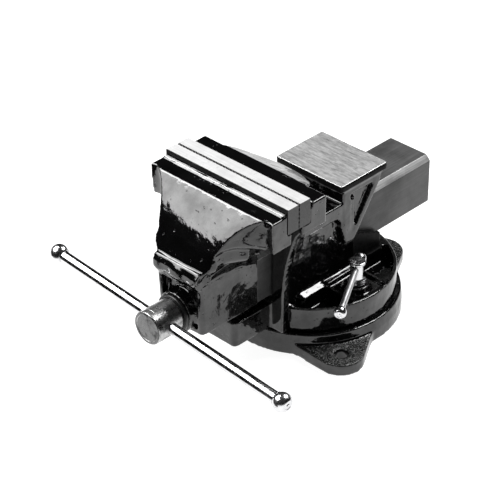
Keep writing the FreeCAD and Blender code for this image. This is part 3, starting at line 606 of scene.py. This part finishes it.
CRADLE_Y, CRADLE_Z = (0.024, 0.0645), (0.046, 0.082)
LUG_TOP_Z = (0.009, 0.0135)
LUG_START_R = 0.0895         # distance from the swivel axis where the lugs begin


def on_cradle_side(c):
    """The side walls under the slide bar, behind the body's webs."""
    in_span = CRADLE_Y[0] < c.y < CRADLE_Y[1] and CRADLE_Z[0] < c.z < CRADLE_Z[1]
    return in_span and abs(abs(c.x) - SIDE_WALL_X) < 0.002


def on_anvil(c):
    return abs(c.x) < 0.043 and -0.006 < c.y < 0.062


def on_lug(c):
    return LUG_TOP_Z[0] < c.z < LUG_TOP_Z[1] and c.xy.length > LUG_START_R


def make_castings():
    jaw = casting("moving_jaw_casting", "movable_jaw", "movable")
    cut_off(jaw, SLIDE_START_Y)
    soften(jaw, wing_hollow, HOLLOW_ROUNDS)
    shape_moving_jaw(jaw)
    flare_the_shoulders(jaw)
    make_slide_bar()
    body = casting("fixed_body_casting", "fixed_body", "fixed")
    end_the_feet(body)
    level_top(body, ANVIL_LEVEL, ANVIL_REACH, on_anvil)
    face_low, rim_low = ANVIL_LEVEL - 0.0004, ANVIL_LEVEL - ANVIL_RIM
    paint_faces(body, ANVIL_STEEL, lambda c, n: c.z > face_low and n.z > 0.7 and on_anvil(c))
    paint_faces(body, DULL_BLACK, lambda c, n: c.z > rim_low and abs(n.z) < 0.6 and on_anvil(c))
    paint_faces(body, DULL_BLACK, lambda c, n: on_cradle_side(c) and abs(n.x) > 0.5)
    base = casting("swivel_base_casting", "swivel_base", "base")
    paint_faces(base, ROUGH, lambda c, n: n.z > 0.75 and on_lug(c))


# ---- jaw plates and lip ----------------------------------------------------------------------
SERRATION_PITCH = 0.0042
SERRATION_DEPTH = 0.0009
SERRATION_HALF_WIDTH = 0.0012
PLATE_STEP = 0.0006          # mesh spacing over the grip face
PLATE_EDGE = 0.0006
SEAM_CHAMFER = 0.0007
PLATE_SCREW_X = 0.046
SINK_R, SCREW_HOLE_R = 0.0082, 0.00405
TOP_FACE, GRIP_FACE, END_FACE = 1, 2, 3                # places in a plate's materials; 0 is the rest


def serration(x, z):
    """Depth of the crossed grooves in a grip face at (x, z)."""
    deepest = 0.0
    for run in (x + z, x - z):
        away = abs((run / SERRATION_PITCH + 0.5) % 1.0 - 0.5) * SERRATION_PITCH
        deepest = max(deepest, 1.0 - away / SERRATION_HALF_WIDTH)
    return SERRATION_DEPTH * deepest


def jaw_plate(name, node, body, grip_is_high_y):
    """A hardened plate: ground top, black sides, crossed serrations on the grip face."""
    low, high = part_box(node)
    grip_y, back_y = (high[1], low[1]) if grip_is_high_y else (low[1], high[1])
    inward = 1.0 if back_y > grip_y else -1.0
    columns = int((high[0] - low[0]) / PLATE_STEP)
    rows = int((high[2] - low[2]) / PLATE_STEP)
    xs = [low[0] + (high[0] - low[0]) * i / columns for i in range(columns + 1)]
    zs = [low[2] + (high[2] - low[2]) * j / rows for j in range(rows + 1)]
    bm = bmesh.new()
    grip = [[bm.verts.new((x, grip_y + inward * serration(x, z), z)) for z in zs[:-1]] for x in xs]
    inner = back_y - inward * PLATE_EDGE
    for column, x in zip(grip, xs):
        rim = grip_y + inward * (SEAM_CHAMFER + 0.8 * serration(x, high[2]))
        column.append(bm.verts.new((x, rim, high[2])))
    outline = [(inner, high[2]), (back_y, high[2] - PLATE_EDGE),
               (back_y, low[2] + PLATE_EDGE), (inner, low[2])]
    back = [[bm.verts.new((x, y, z)) for y, z in outline] for x in xs]
    for i in range(columns):
        for j in range(rows):
            face = bm.faces.new((grip[i][j], grip[i + 1][j], grip[i + 1][j + 1], grip[i][j + 1]))
            face.material_index = GRIP_FACE
        face = bm.faces.new((grip[i][-1], grip[i + 1][-1], back[i + 1][0], back[i][0]))
        face.material_index = TOP_FACE
        for k in range(3):
            bm.faces.new((back[i][k], back[i + 1][k], back[i + 1][k + 1], back[i][k + 1]))
        bm.faces.new((back[i][3], back[i + 1][3], grip[i + 1][0], grip[i][0]))
    for i in (0, columns):
        face = bm.faces.new(grip[i] + back[i])
        face.material_index = END_FACE
    plate = mesh_from(bm, name)
    # The grip faces take the near-black steel, painted shade for the seam.
    for material in (DULL_BLACK, GROUND, SHADED_GRIP, OXIDE):
        plate.data.materials.append(material)
    screw_z = middle(node.replace("jaw_plate", "plate_screws")).z
    countersink = [(-0.001, SINK_R), (0.0015, SINK_R), (0.0065, SCREW_HOLE_R), (0.02, SCREW_HOLE_R)]
    for x in (-PLATE_SCREW_X, PLATE_SCREW_X):
        bored(plate, lathe("sink", countersink, (x, grip_y, screw_z), (0, inward, 0)))
    return finish_piece(plate, body, "ground_steel", node)


LIP_TOP_Z = 0.1814
LIP_THICKNESS = 0.002
LIP_FRONT, LIP_REAR = 0.0042, 0.0004                   # distances in front of the plate
LIP_INSET = 0.0022           # how much shorter it is than the plate at each end
LIP_CUTS = 60


def machined_lip():
    """The bright machined strip on the moving jaw, just in front of its plate."""
    low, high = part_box("front_jaw_plate")
    front, rear = low[1] - LIP_FRONT, low[1] - LIP_REAR
    half = high[0] - LIP_INSET
    bm = bmesh.new()
    bmesh.ops.create_cube(bm, size=1.0)
    for v in bm.verts:
        v.co = Vector((v.co.x * 2 * half, front + (v.co.y + 0.5) * (rear - front),
                       LIP_TOP_Z - LIP_THICKNESS + (v.co.z + 0.5) * LIP_THICKNESS))
    long_edges = [e for e in bm.edges if abs(e.verts[0].co.x - e.verts[1].co.x) > half]
    bmesh.ops.subdivide_edges(bm, edges=long_edges, cuts=LIP_CUTS)
    lip = mesh_from(bm, "machined_lip")
    bevel = lip.modifiers.new("edge", "BEVEL")
    bevel.width = 0.0006
    bevel.segments = 3
    wobble = bpy.data.textures.new("lip_wobble", "CLOUDS")
    wobble.noise_scale = 0.012
    push = lip.modifiers.new("wobble", "DISPLACE")
    push.texture = wobble
    push.texture_coords = "LOCAL"
    push.strength = 0.0005
    push.mid_level = 0.9
    cover(bake_modifiers(lip), GROUND)
    finish_piece(lip, "movable", "ground_steel")


# ---- screw, handle and their fittings --------------------------------------------------------
THREAD_MAJOR = 0.011
THREAD_ROOT = 0.0088
THREAD_PITCH = 0.005
THREAD_FLANK = 0.12          # share of the pitch that each slope of the thread takes
THREAD_SEGMENTS = 48
JOURNAL_R = 0.0125
JOURNAL_END = 0.0672         # behind the head's face, as are the other lengths
HEAD_R = 0.016
HEAD_LENGTH = 0.0305
HEAD_EDGE = 0.0012
CORE_LENGTH = 0.014          # plain core that carries the start of the thread
HANDLE_HOLE_R = 0.0057


def thread_radius(turns):
    """Radius of the flat-topped thread after a number of pitches along it."""
    part = turns % 1.0
    if part < 0.5 - THREAD_FLANK:
        share = 1.0
    elif part < 0.5:
        share = (0.5 - part) / THREAD_FLANK
    elif part < 1.0 - THREAD_FLANK:
        share = 0.0
    else:
        share = (part - 1.0 + THREAD_FLANK) / THREAD_FLANK
    return THREAD_ROOT + (THREAD_MAJOR - THREAD_ROOT) * share


def thread(name, start_y, end_y):
    """A long right-hand screw thread along +Y."""
    step = THREAD_PITCH / 12
    place = around((0, 0, SPINDLE_Z), (0, 1, 0))
    count = int((end_y - start_y) / step)
    bm = bmesh.new()
    rings = []
    for i in range(count + 1):
        y = start_y + step * i
        fade = min(1.0, (end_y - y) / THREAD_PITCH)
        ring = []
        for k in range(THREAD_SEGMENTS):
            crest = thread_radius(y / THREAD_PITCH - k / THREAD_SEGMENTS)
            radius = THREAD_ROOT + (crest - THREAD_ROOT) * fade
            ring.append(bm.verts.new(place(y, radius, 2 * math.pi * k / THREAD_SEGMENTS)))
        rings.append(ring)
    join_rings(bm, rings)
    bm.faces.new(reversed(rings[0]))
    bm.faces.new(rings[-1])
    return mesh_from(bm, name)


def make_spindle():
    face_y = SPINDLE_LOW[1]
    profile = [(0.0004, HEAD_R - 0.0032), (0, HEAD_R - 0.0028), (0, HEAD_R - 0.0016)]
    profile += arc(HEAD_EDGE, HEAD_EDGE, -90, 0, 5, HEAD_R - HEAD_EDGE)
    profile += [(0.006, HEAD_R), (0.0062, HEAD_R - 0.00012), (0.0064, HEAD_R)]
    profile += [(HEAD_LENGTH - 0.0022, HEAD_R), (HEAD_LENGTH, HEAD_R - 0.0014), (HEAD_LENGTH, JOURNAL_R)]
    profile += [(JOURNAL_END - 0.001, JOURNAL_R), (JOURNAL_END, JOURNAL_R - 0.001)]
    profile += [(JOURNAL_END, THREAD_ROOT), (JOURNAL_END + CORE_LENGTH, THREAD_ROOT)]
    head = lathe("screw_head", profile, (0, face_y, SPINDLE_Z), (0, 1, 0))
    bored(head, drill(HANDLE_CENTRE, HANDLE_DIRECTION, HANDLE_HOLE_R, 0.08))
    cover(head, TURNED, 30)
    # The head's end face gets the darker copy, painted shade.
    paint_faces(head, SHADED_FACE_STEEL, lambda c, n: n.y < -0.8 and c.y < face_y + 0.002)
    finish_piece(head, "spindle", "turned_steel", "spindle")
    screw = cover(thread("screw_thread", face_y + JOURNAL_END + 0.0005, SPINDLE_HIGH[1]), TURNED, 30)
    finish_piece(screw, "spindle", "turned_steel", "spindle")


def ring_piece(name, node, body, direction, bore, material, slot, edge=0.0006):
    """A turned washer or collar with broken edges, in place of its CAD node."""
    low, high = (Vector(corner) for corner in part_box(node))
    direction = Vector(direction)
    length = abs((high - low).dot(direction))
    outer = max(high.x - low.x, high.z - low.z if direction.y else high.y - low.y) / 2
    half = length / 2
    profile = [(-half, bore), (-half, outer - edge), (-half + edge, outer), (half - edge, outer),
               (half, outer - edge), (half, bore)]
    ring = cover(lathe(name, profile, (low + high) / 2, direction, hollow=True), material, 30)
    return finish_piece(ring, body, slot, node)


def knob_profile(radius, neck):
    """An acorn-shaped end knob: a neck, a rounded barrel, then a flat ringed outer face."""
    profile = [(-0.74 * radius, neck), (-0.72 * radius, neck + 0.12 * radius)]
    profile += arc(0, radius, -44, 40, 12)
    face = [(0.74, 0.62), (0.78, 0.55), (0.78, 0.40), (0.74, 0.36),
            (0.74, 0.24), (0.80, 0.18), (0.81, 0.02)]
    return profile + [(along * radius, out * radius) for along, out in face]


def knob_pair(node_left, node_right, names, body, direction, neck, radius):
    for name, node, sign in ((names[0], node_left, -1), (names[1], node_right, 1)):
        low, high = (Vector(corner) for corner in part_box(node))
        outward = Vector(direction) * sign
        centre = (low + high) / 2 - outward * 0.05 * radius
        knob = cover(lathe(name, knob_profile(radius, neck), centre, outward), ZINC, 35)
        finish_piece(knob, body, "bright_zinc", node)


def rod_between(name, start, end, radius, material, body, slot, node):
    """A bright bar with broken ends and a slightly reduced shank inside each knob."""
    run = end - start
    length = run.length
    shank, edge = radius * 0.86, radius - 0.0003
    profile = [(0, shank), (0.004, shank), (0.0044, edge), (0.0047, radius), (length - 0.0047, radius),
               (length - 0.0044, edge), (length - 0.004, shank), (length, shank)]
    bar = cover(lathe(name, profile, start, run), material, 30)
    return finish_piece(bar, body, slot, node)


HANDLE_R, HANDLE_NECK_R, HANDLE_KNOB_R = 0.0056, 0.0058, 0.009


def make_handle():
    left, right = middle("handle_knob_left"), middle("handle_knob_right")
    rod_between("handle_rod", left, right, HANDLE_R, HANDLE_ZINC, "handle", "bright_zinc", "handle_bar")
    knob_pair("handle_knob_left", "handle_knob_right", ("handle_end_left", "handle_end_right"), "handle",
              HANDLE_DIRECTION, HANDLE_NECK_R, HANDLE_KNOB_R)


# ---- swivel locks ----------------------------------------------------------------------------
LOCK_SHANK_R, LOCK_FLANGE_R, LOCK_NECK_R, LOCK_CAP_R = 0.006, 0.0076, 0.0063, 0.0082
LOCK_RING_BORE, LOCK_RING_EDGE = 0.0061, 0.0009
LOCK_SEAT_Z = 0.05315        # a hair above the lock ring, so the two faces don't coincide
CAP_ROUNDING = (0.4, 0.8, 1.2, 1.57)                   # angles on the cap's rounded edge
TOMMY_R, TOMMY_HOLE_R, TOMMY_NECK_R, TOMMY_KNOB_R = 0.003, 0.00305, 0.0032, 0.006


def make_lock(side):
    """A lock screw with its tommy bar, the bar's knobs and the ring under its flange."""
    screw_low, screw_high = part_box("lock_screw_" + side)
    axis = middle("lock_washer_" + side)
    inner, outer = middle("lock_bar_knob_inner_" + side), middle("lock_bar_knob_outer_" + side)
    run = (outer - inner).normalized()
    top = screw_high[2] - screw_low[2]
    seat = LOCK_SEAT_Z - screw_low[2]
    neck, cap = LOCK_NECK_R, LOCK_CAP_R
    profile = [(0, 0.005), (0.001, LOCK_SHANK_R), (seat, LOCK_SHANK_R),
               (seat, LOCK_FLANGE_R), (seat + 0.0012, LOCK_FLANGE_R), (seat + 0.002, neck + 0.0004),
               (seat + 0.003, neck), (top - 0.0045, neck), (top - 0.0038, neck + 0.0006),
               (top - 0.0032, cap - 0.0002), (top - 0.0028, cap), (top - 0.0014, cap)]
    profile += [(top - 0.0014 + 0.0011 * math.sin(a), cap - 0.0017 + 0.0017 * math.cos(a))
                for a in CAP_ROUNDING]
    profile += [(top - 0.0002, 0.004), (top, 0.0005)]
    screw = lathe("lock_" + side, profile, (axis.x, axis.y, screw_low[2]), (0, 0, 1))
    bored(screw, drill((axis.x, axis.y, inner.z), run, TOMMY_HOLE_R, 0.03))
    finish_piece(cover(screw, ZINC, 35), "lock_" + side, "bright_zinc", "lock_screw_" + side)
    rod_between("tommy_bar_" + side, inner, outer, TOMMY_R, BAR_ZINC, "bar_" + side, "bright_zinc",
                "lock_bar_" + side)
    knob_pair("lock_bar_knob_inner_" + side, "lock_bar_knob_outer_" + side,
              ("tommy_end_inner_" + side, "tommy_end_outer_" + side), "bar_" + side, run, TOMMY_NECK_R,
              TOMMY_KNOB_R)
    ring_piece("lock_ring_" + side, "lock_washer_" + side, "fixed", (0, 0, 1), LOCK_RING_BORE, ZINC,
               "bright_zinc", LOCK_RING_EDGE)


make_castings()
jaw_plate("front_plate_ground", "front_jaw_plate", "movable", True)
jaw_plate("rear_plate_ground", "rear_jaw_plate", "fixed", False)
machined_lip()
make_spindle()
ring_piece("thrust_ring", "thrust_washer", "spindle", (0, 1, 0), JOURNAL_R, OXIDE, "turned_steel")
ring_piece("collar_ring", "retaining_collar", "spindle", (0, 1, 0), THREAD_MAJOR, TURNED, "turned_steel",
           0.001)
make_handle()
for side in ("right", "left"):
    make_lock(side)
    give("t_nut_" + side, DARK)
for node in ("front_plate_screws", "rear_plate_screws", "collar_pin", "nut_bolt", "nut_bolt_washer"):
    give(node, DARK)
give("spindle_nut", CAST)


# ---- camera, floor and light -----------------------------------------------------------------
CAMERA_PLACE = Vector((1.05806, -1.16087, 1.10142))
CAMERA_AZIMUTH = math.radians(44.41)
CAMERA_ELEVATION = math.radians(33.59)
CAMERA_ROLL = math.radians(-0.45)
CAMERA_LENS = 144.0
FLOOR_HALF = 6.0
LIGHT_AIM = Vector((0, -0.03, 0.1))


def make_camera():
    back = Vector((math.sin(CAMERA_AZIMUTH) * math.cos(CAMERA_ELEVATION),
                   -math.cos(CAMERA_AZIMUTH) * math.cos(CAMERA_ELEVATION), math.sin(CAMERA_ELEVATION)))
    level = Vector((math.cos(CAMERA_AZIMUTH), math.sin(CAMERA_AZIMUTH), 0))
    rise = back.cross(level)
    right = level * math.cos(CAMERA_ROLL) + rise * math.sin(CAMERA_ROLL)
    up = rise * math.cos(CAMERA_ROLL) - level * math.sin(CAMERA_ROLL)
    data = bpy.data.cameras.new("camera")
    data.lens = CAMERA_LENS
    data.sensor_width = 36.0
    data.clip_end = 50.0
    camera = bpy.data.objects.new("camera", data)
    bpy.context.scene.collection.objects.link(camera)
    camera.matrix_world = Matrix.Translation(CAMERA_PLACE) @ Matrix((right, up, back)).transposed().to_4x4()
    bpy.context.scene.camera = camera


def make_floor():
    mesh = bpy.data.meshes.new("floor")
    half = FLOOR_HALF
    corners = [(-half, -half, 0), (half, -half, 0), (half, half, 0), (-half, half, 0)]
    mesh.from_pydata(corners, [], [(0, 1, 2, 3)])
    floor = new_object("floor", mesh)
    n = Nodes("pale_floor")
    n.set(Roughness=0.9, Emission_Strength=0.95)
    n.shader.inputs["Base Color"].default_value = (0.3, 0.3, 0.3, 1)
    n.shader.inputs["Emission Color"].default_value = (1, 1, 1, 1)
    mesh.materials.append(n.material)


def reflection_card(name, start, end, height):
    """An upright black card on the floor, seen only in the vise's glossy surfaces."""
    corners = [(*start, 0), (*end, 0), (*end, height), (*start, height)]
    mesh = bpy.data.meshes.new(name)
    mesh.from_pydata(corners, [], [(0, 1, 2, 3)])
    card = new_object(name, mesh)
    n = Nodes(name)
    n.set(Roughness=1.0, Specular_IOR_Level=0.0)
    n.shader.inputs["Base Color"].default_value = (0.002, 0.002, 0.002, 1)
    mesh.materials.append(n.material)
    card.visible_camera = False
    card.visible_diffuse = False
    card.visible_shadow = False


def area_light(name, direction, distance, size, brightness):
    """A soft box aimed at the vise; brightness is its radiance."""
    data = bpy.data.lights.new(name, "AREA")
    data.shape = "RECTANGLE"
    data.size, data.size_y = size
    data.energy = brightness * math.pi * size[0] * size[1]
    light = bpy.data.objects.new(name, data)
    bpy.context.scene.collection.objects.link(light)
    place = LIGHT_AIM + Vector(direction).normalized() * distance
    light.location = place
    light.rotation_euler = (place - LIGHT_AIM).to_track_quat("Z", "Y").to_euler()


def make_world():
    world = bpy.data.worlds.new("studio")
    world.use_nodes = True
    background = world.node_tree.nodes["Background"]
    background.inputs["Color"].default_value = (0.012, 0.012, 0.012, 1)
    background.inputs["Strength"].default_value = 1.0
    bpy.context.scene.world = world


make_camera()
make_floor()
reflection_card("right_card", (0.636, -0.077), (-0.204, 0.780), 0.5)
reflection_card("front_card", (-0.55, -0.34), (0.15, -0.34), 0.19)
make_world()
area_light("front_left_box", (-0.58, -0.57, 0.74), 1.6, (1.3, 1.0), 7)
area_light("rear_box", (0.19, 0.62, 0.76), 1.7, (0.8, 0.8), 16)
area_light("left_box", (-0.58, -0.12, 0.80), 1.7, (0.7, 0.7), 12)
bpy.context.scene.view_settings.view_transform = "Standard"
